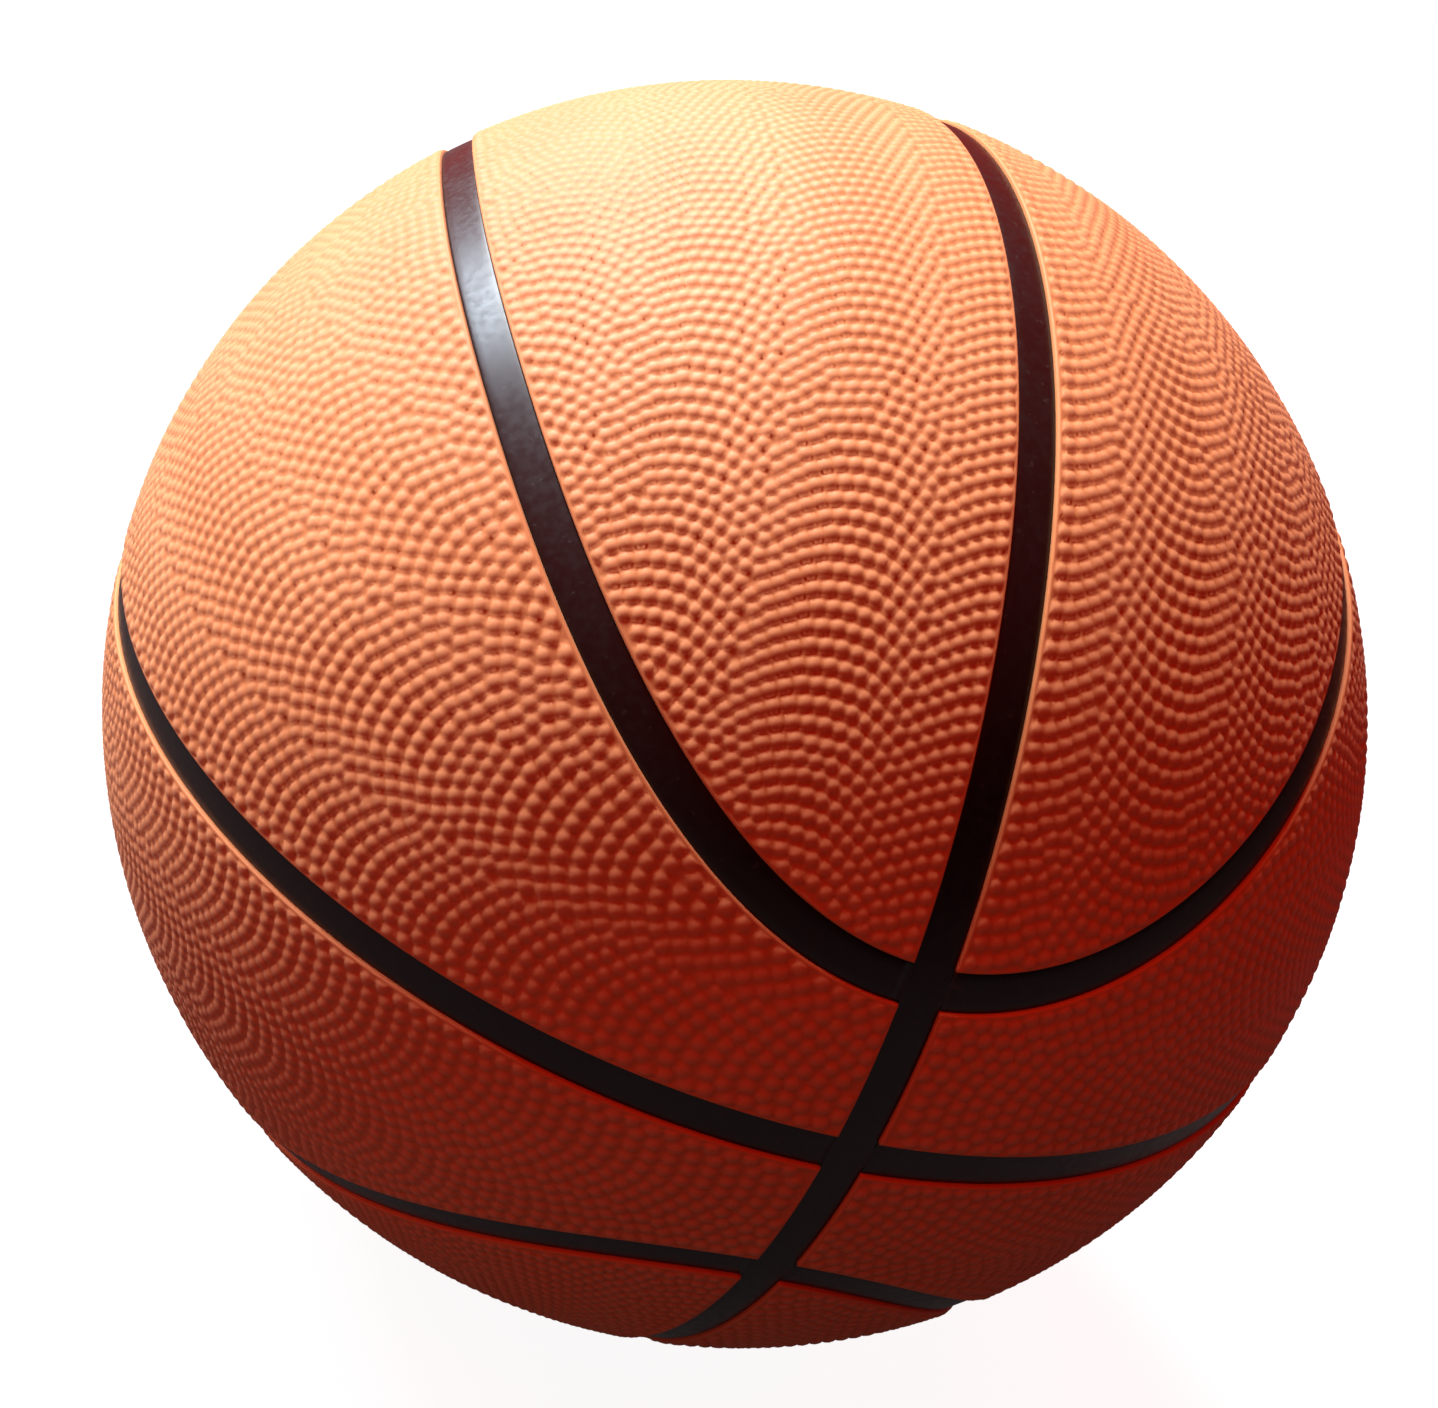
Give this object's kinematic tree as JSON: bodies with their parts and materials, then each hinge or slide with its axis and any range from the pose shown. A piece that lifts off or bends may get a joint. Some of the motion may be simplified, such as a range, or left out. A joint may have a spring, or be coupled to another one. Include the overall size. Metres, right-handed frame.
{
  "type": "basketball",
  "caption": "Inflated rubber basketball: eight pebbled cover panels parted by dark channels, over carcass, thread winding and bladder with a needle valve.",
  "frame": {"origin": "centre of the ball", "axes": "+Z is the pole that the upper loop seam goes round; the seam that runs from pole to pole lies in the plane x = 0 and the middle seam in the plane z = 0; the valve is on the +X side, 23 degrees below the middle seam and 15 degrees behind the plane y = 0"},
  "size_m": [0.2408, 0.2408, 0.2408],
  "materials": {
    "cover_rubber": "moulded rubber with round pebbles, satin",
    "channel_rubber": "smooth black rubber, semi-gloss",
    "valve_rubber": "smooth black rubber, satin",
    "bladder_rubber": "butyl rubber, matt",
    "carcass_rubber": "calendered rubber, matt",
    "nylon_thread": "wound nylon thread in latex"
  },
  "bodies": {
    "root": {"bladder": "bladder_rubber", "valve_housing": "bladder_rubber", "valve_plug": "valve_rubber", "thread_winding": "nylon_thread", "carcass": "carcass_rubber", "top_right_end_panel": "cover_rubber", "top_left_end_panel": "cover_rubber", "bottom_right_end_panel": "cover_rubber", "bottom_left_end_panel": "cover_rubber", "top_right_band_panel": "cover_rubber", "top_left_band_panel": "cover_rubber", "bottom_right_band_panel": "cover_rubber", "bottom_left_band_panel": "cover_rubber", "pole_to_pole_strip": "channel_rubber", "middle_right_strip": "channel_rubber", "middle_left_strip": "channel_rubber", "top_loop_right_strip": "channel_rubber", "top_loop_left_strip": "channel_rubber", "bottom_loop_right_strip": "channel_rubber", "bottom_loop_left_strip": "channel_rubber"}
  },
  "joints": []
}
